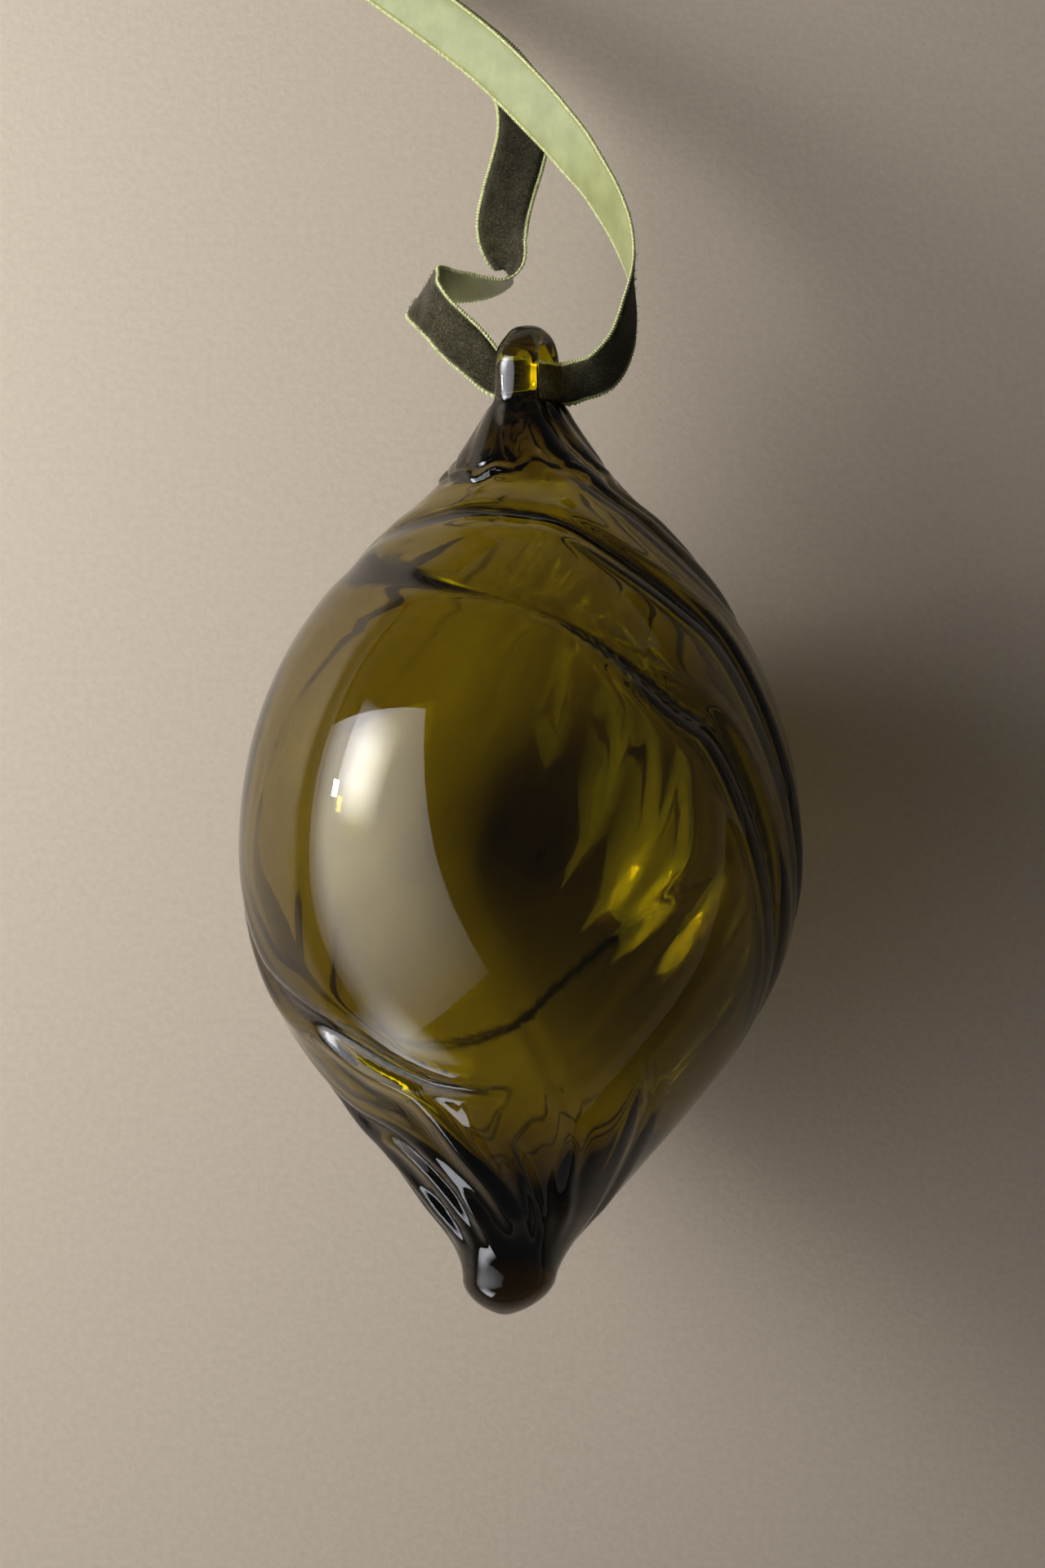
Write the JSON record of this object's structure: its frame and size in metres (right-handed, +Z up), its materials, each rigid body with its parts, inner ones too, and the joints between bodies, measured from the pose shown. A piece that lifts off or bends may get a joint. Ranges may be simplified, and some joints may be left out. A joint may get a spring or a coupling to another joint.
{
  "type": "blown glass teardrop ornament with ribbon loop",
  "caption": "Hand-blown ribbed glass teardrop ornament with a twisted glass hook, lying on its side with its velvet and satin ribbon loop laid out.",
  "frame": {"origin": "on the floor, under the middle of the glass's footprint as it lies on its side", "axes": "+Y along the glass from the tip towards the hook, +Z up, away from the floor, +X to the right seen from above with the hook away from the viewer"},
  "size_m": [0.1064, 0.2412, 0.0819],
  "materials": {
    "glass": "clear olive, polished by the flame",
    "velvet": "short dark olive pile",
    "satin": "pale sage satin back with fine cross ribs"
  },
  "bodies": {
    "glass": {"glass_bulb": "glass", "glass_hook": "glass", "ribbon_bight": "velvet"},
    "ribbon": {"ribbon_strand_right": "satin", "ribbon_strand_left": "velvet", "ribbon_knot": "velvet", "ribbon_tail_long": "satin", "ribbon_tail_short": "velvet"}
  },
  "joints": [
    {"name": "ribbon_swing", "type": "hinge", "parent": "glass", "child": "ribbon", "pos_m": [0.00116, 0.06418, 0.04095], "axis": [0.9272, 0, 0.3746], "range_deg": [-75, 125]}
  ]
}
